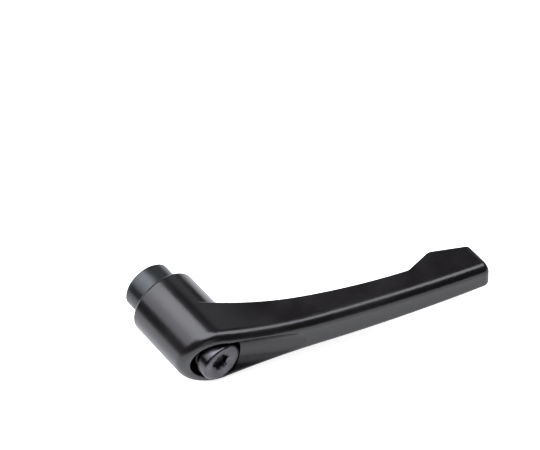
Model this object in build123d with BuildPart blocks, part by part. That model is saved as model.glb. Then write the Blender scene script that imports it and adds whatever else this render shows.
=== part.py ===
"""Adjustable clamping lever with an internally threaded insert.

A die-cast handle is toothed inside its hub and sits on a toothed steel insert.
A shouldered retaining screw holds the two together, and a compression spring
under the screw's head keeps the teeth in mesh. Lifting the handle against the
spring frees it, so that it can be turned to another tooth.

The origin is the centre of the insert's lower face, which is clamped against
the work. +Z runs up the hub's axis and +X along the handle. Sizes are in mm.
"""

from math import cos, radians, sin, tan
import os

from build123d import *

# Handle: hub
hub_diameter = 22.0
hub_standoff = 8.3            # lower face of the hub above the insert's lower face
back_height = 31.8            # top face of the handle at the back of the hub
relief_diameter = 17.9        # recess round the collar in the hub's lower face
relief_depth = 2.0

# Handle: arm. Points are reaches from the hub's axis and heights above the back of the hub
mid_top = (38.0, 19.9)        # half way along the top face
root_width = 14.5             # width of the straight part, drawn back to the hub's axis
tip_width = 10.2              # at the far end
flare_radius = 112.0          # concave blend from the hub into the arm, seen from above
belly_root = (0, -13.2)       # underside of the arm: three points of one arc
belly_mid = (35.7, 8.2)
step_inner = (60.8, 18.1)     # finger step near the tip
step_outer = (69.8, 16.6)
tip_lower = (80.9, 22.7)      # foot and top of the end wall
tip_upper = (80.6, 33.3)
step_inner_radius = 2.0
step_outer_radius = 3.0
tip_edge_radius = 1.7         # all four edges of the end wall

# Handle: casting walls and edges
wall = 2.0
top_wall = 2.5
end_wall = 2.8
rib_thickness = 1.6
rib_reach = 69.6              # middle of the rib under the finger step
ceiling_inset = 3.0           # hollow's ceiling starts this far inside the hub's radius
ceiling_start = 1.4           # at this height above the back of the hub
ceiling_mid = (40.0, 17.6)    # and rises in one arc through this point
casting_radius = 0.8          # inner corners of the hollow
crown_fillet = 3.1            # top edge, all round
rim_fillet = 0.8              # lower outer edge of the arm
hub_edge_fillet = 0.9

# Handle: screw pocket and scoop
pocket_wall = 3.15            # between the pocket and the outside of the hub
scoop_margin = 0.95           # groove's section is this much larger in radius than the pocket
scoop_start = 4.6             # its reach from the hub's axis, inside the pocket
scoop_floor = -0.2            # height of its floor, drawn back to the hub's axis
scoop_angle = 31.0
scoop_straight = 21.5         # reach of its straight part
scoop_end_radius = 22.0       # it then curves up through the top face
pocket_edge_radius = 0.4      # rounding of the pocket's and groove's outline

# Insert
collar_diameter = 15.8
collar_length = 15.0
insert_height = 23.0
collar_chamfer = 0.5
thread_diameter = 10.0        # M10 x 1.5 stud thread
thread_pitch = 1.5
thread_depth = 11.5
mouth_diameter = 12.0         # countersink at the thread's mouth
point_angle = 118.0           # drill point

# Teeth that lock the handle to the insert
tooth_count = 24
tooth_tip_diameter = 13.8
tooth_root_diameter = 12.2
tooth_gap = 0.12              # clearance between the two sets of teeth
tooth_engagement = 3.7

# Retaining screw, shouldered
shoulder_diameter = 7.0
screw_thread_diameter = 6.0   # M6 x 1
screw_thread_pitch = 1.0
screw_thread_length = 5.5
screw_hole_depth = 6.5
head_diameter = 12.8
head_height = 3.8
head_top = 38.0
head_edge_radius = 0.7
socket_diameter = 4.5         # six-lobe socket
socket_depth = 2.3

# Spring
wire_diameter = 0.8
spring_diameter = 11.2        # outside
spring_turns = 3.5            # few enough not to close up over the lift

# Clearances
guide_clearance = 0.08        # radial running fit: handle on the collar and on the shoulder
seat_clearance = 0.2          # handle above the insert's upper face, with the teeth in mesh
spring_clearance = 0.1        # between each end of the spring and its seat
web_thickness = 2.8           # floor between the teeth and the screw pocket


def thread_core(diameter, pitch):
    """Diameter of the bore that is drilled for a thread."""
    return diameter - pitch


def star(tip_diameter, root_diameter, count):
    """Corner points of a ring of pointed teeth."""
    points = []
    for step in range(2 * count):
        radius = (tip_diameter if step % 2 == 0 else root_diameter) / 2
        angle = radians(step * 180 / count)
        points.append((radius * cos(angle), radius * sin(angle)))
    return points


# Levels that several pieces share
hub_radius = hub_diameter / 2
web_floor = insert_height + seat_clearance
pocket_floor = web_floor + web_thickness
teeth_start = insert_height - tooth_engagement
head_seat = head_top - head_height
pocket_radius = hub_radius - pocket_wall
scoop_radius = pocket_radius + scoop_margin
hub_foot = hub_standoff - back_height
top_of_all = back_height + tip_upper[1] + 20
arm_plane = Plane(origin=(0, 0, back_height), x_dir=(1, 0, 0), z_dir=(0, -1, 0))


# Threaded insert ------------------------------------------------------------
bore_radius = thread_core(thread_diameter, thread_pitch) / 2
bore_point = bore_radius / tan(radians(point_angle / 2))
screw_bore_radius = thread_core(screw_thread_diameter, screw_thread_pitch) / 2

with BuildPart() as insert:
    Cylinder(collar_diameter / 2, collar_length, align=(Align.CENTER, Align.CENTER, Align.MIN))
    chamfer(insert.edges().group_by(Axis.Z)[0], collar_chamfer)
    with BuildSketch(Plane.XY.offset(collar_length)):
        Polygon(*star(tooth_tip_diameter, tooth_root_diameter, tooth_count), align=None)
    extrude(amount=insert_height - collar_length)
    with BuildSketch(Plane.XZ):
        with BuildLine():
            mouth_radius = mouth_diameter / 2
            Polyline(
                (0, 0), (mouth_radius, 0), (bore_radius, mouth_radius - bore_radius),
                (bore_radius, thread_depth), (0, thread_depth + bore_point), close=True,
            )
        make_face()
    revolve(axis=Axis.Z, mode=Mode.SUBTRACT)
    with Locations(Location((0, 0, insert_height))):
        Hole(screw_bore_radius, screw_hole_depth)

insert.part.label = "threaded_insert"

# Retaining screw -------------------------------------------------------------
with BuildPart() as screw:
    with BuildSketch(Plane.XZ):
        with BuildLine():
            Polyline(
                (0, insert_height - screw_thread_length),
                (screw_bore_radius, insert_height - screw_thread_length),
                (screw_bore_radius, insert_height),
                (shoulder_diameter / 2, insert_height),
                (shoulder_diameter / 2, head_seat),
                (head_diameter / 2, head_seat),
                (head_diameter / 2, head_top),
                (0, head_top),
                close=True,
            )
        make_face()
    revolve(axis=Axis.Z)
    fillet(screw.edges().group_by(Axis.Z)[-1], head_edge_radius)
    with BuildSketch(Plane.XY.offset(head_top)):
        lobe_radius = socket_diameter / 8
        Circle(socket_diameter / 2 - lobe_radius)
        with PolarLocations(socket_diameter / 2 - lobe_radius, 6):
            Circle(lobe_radius)
    extrude(amount=-socket_depth, mode=Mode.SUBTRACT)

screw.part.label = "retaining_screw"

# Compression spring -----------------------------------------------------------
spring_low = pocket_floor + spring_clearance + wire_diameter / 2
spring_high = head_seat - spring_clearance - wire_diameter / 2
coil_radius = (spring_diameter - wire_diameter) / 2

with BuildPart() as spring:
    with BuildLine() as coil:
        Helix(
            pitch=(spring_high - spring_low) / spring_turns,
            height=spring_high - spring_low,
            radius=coil_radius,
            center=(0, 0, spring_low),
        )
    with BuildSketch(Plane(origin=coil.line @ 0, z_dir=coil.line % 0)):
        Circle(wire_diameter / 2)
    sweep(path=coil.line)

spring.part.label = "spring"

# Handle casting ----------------------------------------------------------------
half_root = root_width / 2
half_tip = tip_width / 2
arm_slope = (half_root - half_tip) / tip_lower[0]


def flare_centre():
    """Centre of the arc that touches the hub outside and the arm's side line."""
    side = half_root + flare_radius * (1 + arm_slope**2) ** 0.5
    reach = hub_radius + flare_radius
    # The centre lies on y = side - arm_slope * x and at the given reach from the axis.
    a = 1 + arm_slope**2
    b = -2 * side * arm_slope
    c = side**2 - reach**2
    x = (-b + (b**2 - 4 * a * c) ** 0.5) / (2 * a)
    return x, side - arm_slope * x


flare_x, flare_y = flare_centre()
hub_share = hub_radius / (hub_radius + flare_radius)
side_length = (1 + arm_slope**2) ** 0.5
hub_touch = (flare_x * hub_share, flare_y * hub_share)
arm_touch = (flare_x - flare_radius * arm_slope / side_length,
             flare_y - flare_radius / side_length)
tip_side = (tip_lower[0] + 4, half_tip - 4 * arm_slope)

# Outline from above: the hub's circle runs into the arm through the flares.
with BuildSketch() as plan:
    with BuildLine():
        RadiusArc(hub_touch, arm_touch, -flare_radius)
        Line(arm_touch, tip_side)
        mirror(about=Plane.XZ)
        ThreePointArc(hub_touch, (-hub_radius, 0), (hub_touch[0], -hub_touch[1]))
        Line(tip_side, (tip_side[0], -tip_side[1]))
    make_face()

# Outline of the arm from the side, carried back to the hub's axis.
with BuildSketch(arm_plane) as side:
    with BuildLine():
        ThreePointArc((-hub_radius, 0), mid_top, tip_upper)
        Polyline(tip_upper, tip_lower, step_outer, step_inner)
        ThreePointArc(step_inner, belly_mid, belly_root)
        Polyline(belly_root, (0, hub_foot), (-hub_radius, hub_foot), (-hub_radius, 0))
    make_face()

# Everything under the crown arc, down to the hub's lower face.
with BuildSketch(arm_plane) as under_crown:
    with BuildLine():
        ThreePointArc((-hub_radius, 0), mid_top, tip_upper)
        Polyline(tip_upper, (tip_upper[0], hub_foot), (-hub_radius, hub_foot), (-hub_radius, 0))
    make_face()

with BuildPart() as arm:
    with BuildSketch():
        add(plan.sketch)
    extrude(amount=top_of_all)
    with BuildSketch(arm_plane):
        add(side.sketch_local)
    extrude(amount=hub_diameter, both=True, mode=Mode.INTERSECT)

with BuildPart() as hub:
    with BuildSketch(Plane.XY.offset(hub_standoff)):
        Circle(hub_radius)
    extrude(amount=top_of_all)
    with BuildSketch(arm_plane):
        add(under_crown.sketch_local)
    extrude(amount=hub_diameter, both=True, mode=Mode.INTERSECT)

# Hollow under the arm, from the hub's wall to the tip, with a rib across it at the step.
end_slope = (tip_lower[0] - tip_upper[0]) / (tip_upper[1] - tip_lower[1])
ceiling_height = tip_upper[1] - top_wall
ceiling_tip = (tip_upper[0] + end_slope * top_wall - end_wall, ceiling_height)
hollow_depth = hub_foot - ceiling_height
hollow_foot = (ceiling_tip[0] - end_slope * hollow_depth, hub_foot)
ceiling_root = (hub_radius - ceiling_inset, ceiling_start)

with BuildPart() as hollow:
    with BuildSketch():
        add(plan.sketch)
        offset(amount=-wall, mode=Mode.REPLACE)
        Circle(hub_radius, mode=Mode.SUBTRACT)
        with Locations((-hub_radius, 0)):
            Rectangle(hub_diameter, hub_diameter * 2, mode=Mode.SUBTRACT)
        with Locations((rib_reach, 0)):
            Rectangle(rib_thickness, hub_diameter, mode=Mode.SUBTRACT)
    extrude(amount=top_of_all)
    with BuildSketch(arm_plane):
        with BuildLine():
            ThreePointArc(ceiling_root, ceiling_mid, ceiling_tip)
            Polyline(ceiling_tip, hollow_foot, (ceiling_root[0], hub_foot), ceiling_root)
        make_face()
    extrude(amount=hub_diameter, both=True, mode=Mode.INTERSECT)
    fillet(hollow.edges(), casting_radius)

# Screw pocket, and the round groove that leads from the arm's top face down to the screw. Its section's
# centre runs one radius above the floor, along a line and then an arc.
groove_turn = 60
arc_radius = scoop_end_radius - scoop_radius


def groove_centre(reach):
    """Centre of the groove's section above a point of its straight floor."""
    slope = radians(scoop_angle)
    return (reach - scoop_radius * sin(slope),
            scoop_floor + reach * tan(slope) + scoop_radius * cos(slope))


def along_turn(degrees):
    """Point of the arc that the section's centre follows past the straight part."""
    start_x, start_z = groove_centre(scoop_straight)
    slope = radians(scoop_angle)
    turned = slope + radians(degrees)
    return (start_x + arc_radius * (sin(turned) - sin(slope)),
            start_z + arc_radius * (cos(slope) - cos(turned)))


up = (Align.CENTER, Align.CENTER, Align.MIN)

with BuildPart() as well:
    with Locations((0, 0, pocket_floor)):
        Cylinder(pocket_radius, top_of_all, align=up)
    with BuildLine(arm_plane) as groove_path:
        Line(groove_centre(scoop_start), groove_centre(scoop_straight))
        ThreePointArc(along_turn(0), along_turn(groove_turn / 2), along_turn(groove_turn))
    with BuildSketch(Plane(origin=groove_path.line @ 0, z_dir=groove_path.line % 0)):
        Circle(scoop_radius)
    sweep(path=groove_path.line)


def in_space(point):
    """A point of the arm's side outline, as a point of the part."""
    return point[0], 0, back_height + point[1]


def edge_across(piece, point):
    """Edge across the arm that runs closest to a point of the side outline."""
    return piece.edges().filter_by(Axis.Y).sort_by_distance(in_space(point))[0]


def on_skins(edge, skins):
    """Whether the middle of an edge lies on every one of some shells."""
    middle = Vertex(*(edge @ 0.5))
    return all(skin.distance_to(middle) < 0.001 for skin in skins)


with BuildPart() as handle:
    add(arm.part)
    add(hub.part)
    fillet(edge_across(handle, step_inner), step_inner_radius)
    fillet(edge_across(handle, step_outer), step_outer_radius)
    crown = handle.faces().filter_by(GeomType.CYLINDER).sort_by(Axis.Z)[-1]
    fillet(crown.edges().sort_by(Axis.X)[:-1], crown_fillet)
    end_face = handle.faces().filter_by(GeomType.PLANE).sort_by(Axis.X)[-1]
    fillet(end_face.edges(), tip_edge_radius)
    # The rim's fillet runs on from the tip's lower face along the whole arm.
    tip_under = ((tip_lower[0] + step_outer[0]) / 2, (tip_lower[1] + step_outer[1]) / 2)
    flats = handle.faces().filter_by(GeomType.PLANE)
    tip_face = flats.sort_by_distance(in_space(tip_under))[0]
    fillet([edge for edge in tip_face.edges() if abs(edge.center().Y) > wall], rim_fillet)
    hub_face = handle.faces().filter_by(GeomType.PLANE).sort_by(Axis.Z)[0]
    fillet(hub_face.edges(), hub_edge_fillet)

    add(hollow.part, mode=Mode.SUBTRACT)

    # Screw pocket and groove. Their outline is where the two skins meet.
    skins = (handle.part.shell(), well.part.shell())
    add(well.part, mode=Mode.SUBTRACT)
    outline = [edge for edge in handle.edges() if on_skins(edge, skins)]
    fillet(outline, pocket_edge_radius)

    # Bores below the screw: recess, guide for the collar, teeth and the screw's hole.
    with Locations((0, 0, hub_standoff)):
        Cylinder(relief_diameter / 2, relief_depth, align=up, mode=Mode.SUBTRACT)
        guide_height = teeth_start - hub_standoff
        Cylinder(collar_diameter / 2 + guide_clearance, guide_height, align=up,
                 mode=Mode.SUBTRACT)
    with BuildSketch(Plane.XY.offset(teeth_start)):
        grown = 2 * tooth_gap
        Polygon(*star(tooth_tip_diameter + grown, tooth_root_diameter + grown, tooth_count),
                align=None)
    extrude(amount=web_floor - teeth_start, mode=Mode.SUBTRACT)
    with Locations((0, 0, web_floor)):
        Cylinder(shoulder_diameter / 2 + guide_clearance, web_thickness, align=up,
                 mode=Mode.SUBTRACT)

handle.part.label = "handle"

os.makedirs("parts", exist_ok=True)
export_step(insert.part, "parts/threaded_insert.step")
export_step(screw.part, "parts/retaining_screw.step")
export_step(spring.part, "parts/spring.step")
export_step(handle.part, "parts/handle.step")
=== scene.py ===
from math import cos, pi, radians, sin, tan

import bmesh
import bpy
from mathutils import Matrix, Vector


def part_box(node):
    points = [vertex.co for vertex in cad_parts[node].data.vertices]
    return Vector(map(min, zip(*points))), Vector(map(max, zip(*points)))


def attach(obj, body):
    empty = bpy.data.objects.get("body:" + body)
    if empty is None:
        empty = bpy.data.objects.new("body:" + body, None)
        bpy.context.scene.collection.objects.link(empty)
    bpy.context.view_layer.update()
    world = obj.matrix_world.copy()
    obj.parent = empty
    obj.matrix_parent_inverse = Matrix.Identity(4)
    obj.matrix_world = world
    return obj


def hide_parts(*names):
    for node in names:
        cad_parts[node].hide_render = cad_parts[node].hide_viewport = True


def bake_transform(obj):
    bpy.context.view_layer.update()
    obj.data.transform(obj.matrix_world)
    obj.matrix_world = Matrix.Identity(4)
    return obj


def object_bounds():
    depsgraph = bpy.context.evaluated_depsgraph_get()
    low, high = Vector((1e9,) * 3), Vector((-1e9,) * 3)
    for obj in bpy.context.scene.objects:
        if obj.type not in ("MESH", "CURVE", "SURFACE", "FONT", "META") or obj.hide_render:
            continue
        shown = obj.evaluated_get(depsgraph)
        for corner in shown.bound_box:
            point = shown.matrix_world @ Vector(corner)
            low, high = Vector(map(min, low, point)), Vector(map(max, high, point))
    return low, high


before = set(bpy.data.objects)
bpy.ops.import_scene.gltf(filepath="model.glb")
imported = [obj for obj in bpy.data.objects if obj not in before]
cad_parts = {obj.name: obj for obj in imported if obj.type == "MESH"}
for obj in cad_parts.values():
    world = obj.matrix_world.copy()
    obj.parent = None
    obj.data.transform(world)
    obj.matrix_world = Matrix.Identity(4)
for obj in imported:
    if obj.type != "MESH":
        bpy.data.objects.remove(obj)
box_at_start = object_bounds()


# Handle: a zinc die casting in one piece with its hub, shot-blasted and then coated satin black.
# The coat flows a little before it sets, so its skin is very slightly rippled and grainy, and it
# is a little paler and duller in the patches where hands have rubbed it.
mm = 0.001
coat_black = (0.0046, 0.0038, 0.0040, 1)
coat_rubbed = (0.0078, 0.0068, 0.0072, 1)
coat_roughness = 0.225
rubbed_adds = 0.05
rubbed_patch = 14.3 * mm
ripple_size = 2.2 * mm
grain_size = 0.35 * mm
grain_to_ripple = 0.35
ripple_height = 0.0045 * mm


class Wire:
    """An output of a node, for use in sums with numbers and with other wires."""

    def __init__(self, board, socket):
        self.board = board
        self.socket = socket

    def outlet(self, name):
        """Another output of the same node."""
        return Wire(self.board, self.socket.node.outputs[name])

    def maths(self, operation, *others):
        return self.board.node("ShaderNodeMath", {"operation": operation}, self, *others)

    def __add__(self, other):
        return self.maths("ADD", other)

    def __sub__(self, other):
        return self.maths("SUBTRACT", other)

    def __mul__(self, other):
        return self.maths("MULTIPLY", other)

    def __rsub__(self, other):
        return self.board.node("ShaderNodeMath", {"operation": "SUBTRACT"}, other, self)

    __radd__ = __add__
    __rmul__ = __mul__

    def between(self, low, high):
        """Eases from 0 to 1 while this one goes from low to high."""
        return self.board.node("ShaderNodeMapRange", {"interpolation_type": "SMOOTHSTEP"},
                               self, low, high)


class Board:
    """The nodes of one material, or of the world, round the shader that it starts with."""

    def __init__(self, owner, shader="Principled BSDF", **constants):
        owner.use_nodes = True
        self.owner = owner
        self.nodes = owner.node_tree.nodes
        self.links = owner.node_tree.links
        self.shader = self.nodes[shader]
        for name, value in constants.items():
            self.shader.inputs[name.replace("_", " ")].default_value = value

    def node(self, kind, settings, *values, out=0, **named):
        """Adds a node: its settings first, then its inputs in their order or by name."""
        new = self.nodes.new(kind)
        for name, value in settings.items():
            setattr(new, name, value)
        pairs = list(zip(new.inputs, values))
        pairs += [(new.inputs[name], value) for name, value in named.items()]
        for socket, value in pairs:
            if isinstance(value, Wire):
                self.links.new(value.socket, socket)
            elif value is not None:
                socket.default_value = value
        return Wire(self, new.outputs[out])

    def noise(self, size, detail, where=None):
        """Soft random speckle with spots of about one size, fixed to the piece."""
        where = where or self.node("ShaderNodeTexCoord", {}, out="Object")
        return self.node("ShaderNodeTexNoise", {}, Vector=where, Scale=1 / size, Detail=detail)

    def mix(self, share, first, second):
        """Blends two colours. The node's sockets for numbers and vectors are left alone."""
        unused = [None] * 5
        return self.node("ShaderNodeMix", {"data_type": "RGBA"}, share, *unused, first, second,
                         out=2)

    def finish(self, colour, roughness, height, depth):
        """Joins what varies over the surface to the shader, and gives the finished material."""
        bump = self.node("ShaderNodeBump", {}, Height=height, Distance=depth, Strength=1.0)
        for name, wire in (("Base Color", colour), ("Roughness", roughness), ("Normal", bump)):
            self.links.new(wire.socket, self.shader.inputs[name])
        return self.owner


def dress(piece, material):
    """Gives every slot of a mesh one material."""
    if not piece.data.materials:
        piece.data.materials.append(material)
    for slot in piece.material_slots:
        slot.material = material


coat = Board(bpy.data.materials.new("handle_coating"), Metallic=0.0, IOR=1.55)
ripple = coat.noise(ripple_size, 1.0)
grain = coat.noise(grain_size, 3.0)
rubbed = coat.noise(rubbed_patch, 4.0).between(0.35, 0.7)
dress(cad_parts["handle"], coat.finish(
    colour=coat.mix(rubbed, coat_black, coat_rubbed),
    roughness=coat_roughness + rubbed_adds * rubbed,
    height=ripple + grain_to_ripple * grain,
    depth=ripple_height,
))


# Threaded insert: free-cutting steel turned on a lathe, drilled, countersunk and tapped M10 from
# below, with a ring of pointed teeth cut round its upper end. It is blackened, so it looks
# blue-grey, with a few darker and paler stains.
insert_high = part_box("threaded_insert")[1]
collar_radius = insert_high.x
collar_top = 15.0 * mm
collar_chamfer = 0.5 * mm
teeth_top = insert_high.z
teeth_tip = 6.9 * mm
teeth_root = 6.1 * mm
teeth_chamfer = 0.35 * mm
teeth_foot = 0.1 * mm
tooth_count = 24
screw_hole_radius = 2.5 * mm
screw_hole_floor = 16.5 * mm
mouth_radius = 6.0 * mm
thread_outer = 5.0 * mm
thread_inner = 4.25 * mm
thread_pitch = 1.5 * mm
thread_flat = thread_pitch / 16
thread_flank = radians(60)
thread_end = 10.6 * mm
thread_run_out = 0.6 * mm
steps_a_pitch = 24
bore_floor = 11.5 * mm
drill_point = radians(118)
facets_round = 96
tiny = 0.001 * mm
smooth_below = radians(35)

steel_dark = (0.053, 0.055, 0.057, 1)
steel_pale = (0.077, 0.079, 0.081, 1)
steel_roughness = 0.26
stain_adds = 0.10
stain_size = 6.25 * mm
feed_adds = 0.12
feed_width = 0.11 * mm
ring_depth = 0.0022 * mm


def lathe(profile):
    """Turns a chain of (radius, height) points round the Z axis into a closed skin."""
    mesh = bmesh.new()
    points = [mesh.verts.new((radius, 0, height)) for radius, height in profile]
    chain = [mesh.edges.new(pair) for pair in zip(points, points[1:])]
    bmesh.ops.spin(mesh, geom=points + chain, cent=(0, 0, 0), axis=(0, 0, 1), angle=2 * pi,
                   steps=facets_round, use_merge=True)
    bmesh.ops.remove_doubles(mesh, verts=mesh.verts, dist=tiny / 10)
    bmesh.ops.recalc_face_normals(mesh, faces=mesh.faces)
    return mesh


def polar(vertex):
    """A vertex's distance from the Z axis, and how far round it lies."""
    across = vertex.co.to_2d()
    return across.length, across.angle_signed(Vector((1, 0)), 0)


def set_reach(vertex, wanted):
    """Moves a vertex in or out, to a wanted distance from the Z axis."""
    share = wanted / vertex.co.to_2d().length
    vertex.co.x *= share
    vertex.co.y *= share


def show(name, mesh):
    """Puts a finished mesh into the scene as one piece."""
    data = bpy.data.meshes.new(name)
    mesh.to_mesh(data)
    mesh.free()
    piece = bpy.data.objects.new(name, data)
    bpy.context.collection.objects.link(piece)
    data.shade_smooth()
    data.set_sharp_from_angle(angle=smooth_below)
    return piece


def thread_radius(turned, height):
    """Wall of the tapped hole: straight flanks with flat crests, run out at its end."""
    phase = (height / thread_pitch - turned / (2 * pi)) % 1
    from_root = abs(phase - 0.5) * thread_pitch
    flank = thread_outer + (thread_flat - from_root) * tan(thread_flank)
    full = min(thread_outer, max(thread_inner, flank))
    faded = min(1, max(0, (thread_end - height) / thread_run_out))
    return thread_inner + (full - thread_inner) * faded


def turned_rings(board, width):
    """The tool's fine rings: noise that only changes with height and distance from the axis."""
    place = board.node("ShaderNodeTexCoord", {}, out="Object")
    x = board.node("ShaderNodeSeparateXYZ", {}, place)
    y = x.outlet("Y")
    radius = (x * x + y * y).maths("SQRT")
    section = board.node("ShaderNodeCombineXYZ", {}, radius, x.outlet("Z"))
    return board.noise(width, 3.0, section)


bore_steps = round(bore_floor / thread_pitch * steps_a_pitch)
outline = [(0, bore_floor + thread_inner / tan(drill_point / 2))]
outline += [(thread_inner, bore_floor * (1 - step / bore_steps)) for step in range(bore_steps)]
outline += [
    (mouth_radius, 0), (collar_radius - collar_chamfer, 0), (collar_radius, collar_chamfer),
    (collar_radius, collar_top - collar_chamfer / 2),
    (collar_radius - collar_chamfer / 2, collar_top),
    (teeth_tip + teeth_foot, collar_top), (teeth_tip, collar_top + teeth_foot),
    (teeth_tip, teeth_top - teeth_chamfer), (teeth_tip - teeth_chamfer, teeth_top),
    (screw_hole_radius, teeth_top), (screw_hole_radius, screw_hole_floor), (0, screw_hole_floor),
]
insert_mesh = lathe(outline)
for vertex in insert_mesh.verts:
    reach, turned = polar(vertex)
    height = vertex.co.z
    if abs(reach - thread_inner) < tiny and height < bore_floor + tiny:
        set_reach(vertex, max(thread_radius(turned, height), mouth_radius - height))
    elif height > collar_top + teeth_foot / 2 and reach > screw_hole_radius + tiny:
        from_gap = abs((turned * tooth_count / (2 * pi)) % 1 - 0.5) * 2
        set_reach(vertex, reach - (teeth_tip - teeth_root) * (1 - from_gap))

insert = show("insert_turned", insert_mesh)
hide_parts("threaded_insert")
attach(insert, "base")

steel = Board(bpy.data.materials.new("insert_steel"), Metallic=1.0)
feed = turned_rings(steel, feed_width)
stain = steel.noise(stain_size, 4.0).between(0.3, 0.75)
dress(insert, steel.finish(
    colour=steel.mix(stain, steel_dark, steel_pale),
    roughness=steel_roughness + stain_adds * stain + feed_adds * feed,
    height=feed,
    depth=ring_depth,
))


# Retaining screw: a shouldered steel screw with a low head, a rounded rim and a six-lobe socket
# in a shallow cone. Its head is faced on a lathe, which leaves fine rings, and it is only lightly
# blackened.
screw_low, screw_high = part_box("retaining_screw")
head_radius = screw_high.x
head_top = screw_high.z
head_foot = 34.2 * mm
rim_round = 0.9 * mm
rim_steps = 6
shoulder_radius = 3.5 * mm
screw_tip = screw_low.z
broken_edge = 0.2 * mm
cone_radius = 5.0 * mm
cone_depth = 0.55 * mm
socket_mouth = 3.0 * mm
socket_lead_in = 0.45 * mm
socket_radius = 2.72 * mm
socket_waist = 0.2 * mm
socket_lobes = 6
socket_floor = 35.7 * mm
socket_point = 0.3 * mm

screw_dark = (0.075, 0.073, 0.080, 1)
screw_pale = (0.11, 0.108, 0.115, 1)
screw_roughness = 0.20
smudge_adds = 0.08
smudge_size = 3.03 * mm
facing_adds = 0.12
facing_width = 0.16 * mm

outline = [
    (0, socket_floor - socket_point), (socket_radius, socket_floor),
    (socket_radius, head_top - cone_depth - socket_lead_in),
    (socket_mouth, head_top - cone_depth), (cone_radius, head_top),
]
for step in range(rim_steps + 1):
    angle = step / rim_steps * pi / 2
    outline.append((head_radius - rim_round * (1 - sin(angle)),
                    head_top - rim_round * (1 - cos(angle))))
outline += [
    (head_radius, head_foot + broken_edge), (head_radius - broken_edge, head_foot),
    (shoulder_radius, head_foot), (shoulder_radius, teeth_top), (screw_hole_radius, teeth_top),
    (screw_hole_radius, screw_tip + broken_edge), (screw_hole_radius - broken_edge, screw_tip),
    (0, screw_tip),
]
screw_mesh = lathe(outline)
for vertex in screw_mesh.verts:
    reach, turned = polar(vertex)
    if abs(reach - socket_radius) < tiny and vertex.co.z > head_foot:
        set_reach(vertex, reach - socket_waist * (1 - cos(socket_lobes * turned)))

screw = show("screw_turned", screw_mesh)
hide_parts("retaining_screw")
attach(screw, "base")

screw_steel = Board(bpy.data.materials.new("screw_steel"), Metallic=1.0)
facing = turned_rings(screw_steel, facing_width)
smudge = screw_steel.noise(smudge_size, 4.0).between(0.3, 0.7)
dress(screw, screw_steel.finish(
    colour=screw_steel.mix(smudge, screw_dark, screw_pale),
    roughness=screw_roughness + smudge_adds * smudge + facing_adds * facing,
    height=facing,
    depth=ring_depth,
))


# Spring: drawn steel wire wound cold, with its end turns closed up and ground flat so that it
# stands square under the screw's head. The handle's web squeezes it as the handle is lifted.
wire_radius = 0.4 * mm
spring_low, spring_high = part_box("spring")
coil_radius = spring_high.x - wire_radius
coil_foot = spring_low.z
coil_top = spring_high.z
coil_turns = 3.5
closed_turns = 0.75
closed_rise = 0.6 * mm
ground_off = 0.1 * mm
steps_a_turn = 48
wire_facets = 16

# Painted shade: the spring's steel colour is made very dark to stand for the shade of the hub's
# pocket round it. Only its paler patches vary at random.
spring_shade_dark = (0.040, 0.040, 0.042, 1)
spring_shade_pale = (0.065, 0.064, 0.063, 1)
spring_roughness = 0.24
drawing_adds = 0.2
drawing_size = 0.3 * mm
drawing_depth = 0.002 * mm
tint_size = 2.5 * mm

coil = bmesh.new()
bmesh.ops.create_circle(coil, segments=wire_facets, radius=wire_radius)
bmesh.ops.rotate(coil, verts=coil.verts, cent=(0, 0, 0), matrix=Matrix.Rotation(pi / 2, 3, "X"))
bmesh.ops.translate(coil, verts=coil.verts,
                    vec=(coil_radius, 0, coil_foot + wire_radius - ground_off))
front = list(coil.verts) + list(coil.edges)
ends = [list(coil.edges)]
open_turns = coil_turns - 2 * closed_turns
open_rise = coil_top - coil_foot - 2 * (wire_radius - ground_off) - 2 * closed_rise
for turns, rise in ((closed_turns, closed_rise), (open_turns, open_rise),
                    (closed_turns, closed_rise)):
    steps = round(turns * steps_a_turn)
    front = bmesh.ops.spin(coil, geom=front, cent=(0, 0, 0), axis=(0, 0, 1), angle=2 * pi * turns,
                           steps=steps, dvec=(0, 0, rise / steps))["geom_last"]
ends.append([item for item in front if isinstance(item, bmesh.types.BMEdge)])
for edges in ends:
    bmesh.ops.contextual_create(coil, geom=edges)
for vertex in coil.verts:
    vertex.co.z = min(max(vertex.co.z, coil_foot), coil_top)
bmesh.ops.recalc_face_normals(coil, faces=coil.faces)

spring = show("spring_coil", coil)
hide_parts("spring")
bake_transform(spring)

drawn = Board(bpy.data.materials.new("spring_steel"), Metallic=1.0)
drawing = drawn.noise(drawing_size, 4.0)
tint = drawn.noise(tint_size, 3.0).between(0.3, 0.7)
dress(spring, drawn.finish(
    colour=drawn.mix(tint, spring_shade_dark, spring_shade_pale),
    roughness=spring_roughness + drawing_adds * drawing,
    height=drawing,
    depth=drawing_depth,
))


# Table: the lever lies on its side on a white table, so the table's plane is upright in the
# part's own axes. It looks white where it is seen straight, mirrors only faintly in the coat,
# keeps the lever's shadow, and isn't there when it is seen from behind.
table_gap = 0.05 * mm
table_side = 0.4
table_x = 0.13
table_z = 0.05
paper_white = (0.69, 0.69, 0.69, 1)
glow_seen = 0.86
glow_mirrored = 0.12
white = (1, 1, 1, 1)

plane = bmesh.new()
bmesh.ops.create_grid(plane, x_segments=1, y_segments=1, size=table_side / 2)
bmesh.ops.rotate(plane, verts=plane.verts, cent=(0, 0, 0), matrix=Matrix.Rotation(-pi / 2, 3, "X"))
bmesh.ops.translate(plane, verts=plane.verts,
                    vec=(table_x, box_at_start[0].y - table_gap, table_z))
table = show("table", plane)

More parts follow.
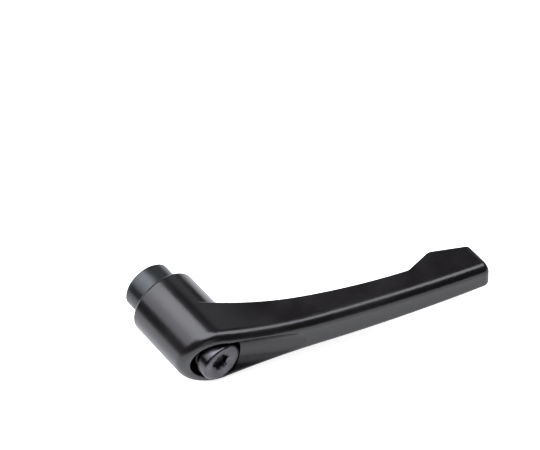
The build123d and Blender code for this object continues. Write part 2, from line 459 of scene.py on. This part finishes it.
paper = Board(bpy.data.materials.new("table_white"))
ray = paper.node("ShaderNodeLightPath", {}, out="Is Camera Ray")
seen = ray.maths("MAXIMUM", ray.outlet("Is Transmission Ray"))
own_light = glow_seen * seen + glow_mirrored * ray.outlet("Is Glossy Ray")
matte = paper.node("ShaderNodeBsdfDiffuse", {}, Color=paper_white)
glow = paper.node("ShaderNodeEmission", {}, Color=white, Strength=own_light)
front_side = paper.node("ShaderNodeAddShader", {}, matte, glow)
clear = paper.node("ShaderNodeBsdfTransparent", {})
from_behind = paper.node("ShaderNodeNewGeometry", {}, out="Backfacing")
one_sided = paper.node("ShaderNodeMixShader", {}, from_behind, front_side, clear)
paper.links.new(one_sided.socket, paper.nodes["Material Output"].inputs["Surface"])
paper.nodes.remove(paper.shader)
dress(table, paper.owner)


# Studio: a white room beyond, a dark felt tent that keeps stray light off the glossy coat, and
# the lamps inside it. A key lamp that no surface mirrors lights the colours, and soft panels
# draw the highlights.
room_dimmed = 0.75
tent_radius = 1.2
tent_cut = -0.15
felt_black = (0.03, 0.03, 0.03, 1)
lamp_tint = (0.95, 0.97, 1.04)

world = bpy.data.worlds.new("studio")
bpy.context.scene.world = world
room = Board(world, "Background", Color=white)
ray = room.node("ShaderNodeLightPath", {}, out="Is Camera Ray")
seen = ray.maths("MAXIMUM", ray.outlet("Is Glossy Ray"))
seen = seen.maths("MAXIMUM", ray.outlet("Is Transmission Ray"))
room_light = 1 - (1 - seen) * room_dimmed
room.links.new(room_light.socket, room.shader.inputs["Strength"])

middle = (box_at_start[0] + box_at_start[1]) / 2

tent_mesh = bmesh.new()
bmesh.ops.create_uvsphere(tent_mesh, u_segments=48, v_segments=24, radius=tent_radius)
everything = list(tent_mesh.verts) + list(tent_mesh.edges) + list(tent_mesh.faces)
bmesh.ops.bisect_plane(tent_mesh, geom=everything, plane_co=(0, tent_cut, 0),
                       plane_no=(0, -1, 0), clear_outer=True)
bmesh.ops.translate(tent_mesh, verts=tent_mesh.verts, vec=middle)
tent = show("tent", tent_mesh)
tent.visible_camera = False
tent.visible_shadow = False
tent.visible_diffuse = False
felt = Board(bpy.data.materials.new("tent_black"), Base_Color=felt_black, Specular_IOR_Level=0.0)
dress(tent, felt.owner)


def panel(name, place, size, brightness, facing=(0, -1, 0)):
    """A soft lamp at a place measured from the lever's middle, with its brightness as seen."""
    lamp = bpy.data.lights.new(name, "AREA")
    lamp.shape = "RECTANGLE"
    lamp.size, lamp.size_y = size
    lamp.energy = brightness * pi * lamp.size * lamp.size_y
    lamp.color = lamp_tint
    holder = bpy.data.objects.new(name, lamp)
    bpy.context.collection.objects.link(holder)
    holder.location = middle + Vector(place)
    holder.rotation_euler = Vector(facing).to_track_quat("-Z", "Y").to_euler()
    holder.visible_camera = False
    return holder


# The wide band along the hub and the collar takes four panels, two above and two at the side.
panel("softbox", (-0.075, 0.5, -0.13), (0.33, 0.64), 4.9)
panel("softbox_edge", (-0.29, 0.5, -0.13), (0.10, 0.64), 4.2)
panel("side_near", (-0.42, 0.483, -0.39), (0.17, 0.6), 2.8, (0.66, -0.75, 0.52))
panel("side_far", (-0.567, 0.38, -0.41), (0.19, 0.6), 2.3, (0.70, -0.47, 0.52))
# One panel draws the line along the arm's crown. Two dim ones lift the arm's root and the scoop.
panel("strip", (0.34, 0.5, 0.145), (0.48, 0.25), 4.6)
panel("fill", (0.68, 0.44, -0.5), (0.42, 0.6), 0.5, (-0.68, -0.44, 0.5))
panel("glow", (-0.34, 0.15, 0.60), (0.3, 0.22), 1.0, (0.46, -0.22, -0.86))
key = panel("key", (-0.52, 0.34, -0.40), (0.3, 0.3), 22.0, (0.52, -0.34, 0.40))
key.visible_glossy = False


# Camera: a long lens that looks down on the lying lever from beyond its hub. It is turned about
# the table's upright, then about its own level line and its line of sight, and then it stands
# off to its own right, up and back from the middle of the insert's lower face.
turned_round = radians(-33.80)
looks_down = radians(51.60)
held_askew = radians(-5.25)
focal_length = 148.14
stand_off = Vector((37.18, 17.76, 668.56)) * mm

lens = bpy.data.cameras.new("camera")
lens.sensor_width = 36.0
lens.lens = focal_length
lens.clip_start = 0.01
lens.clip_end = 20.0
camera = bpy.data.objects.new("camera", lens)
bpy.context.collection.objects.link(camera)
turn = (Matrix.Rotation(turned_round, 4, "Y") @ Matrix.Rotation(-looks_down, 4, "X")
        @ Matrix.Rotation(held_askew, 4, "Z"))
camera.matrix_world = turn @ Matrix.Translation(stand_off)
bpy.context.scene.camera = camera

bpy.context.scene.view_settings.view_transform = "Standard"
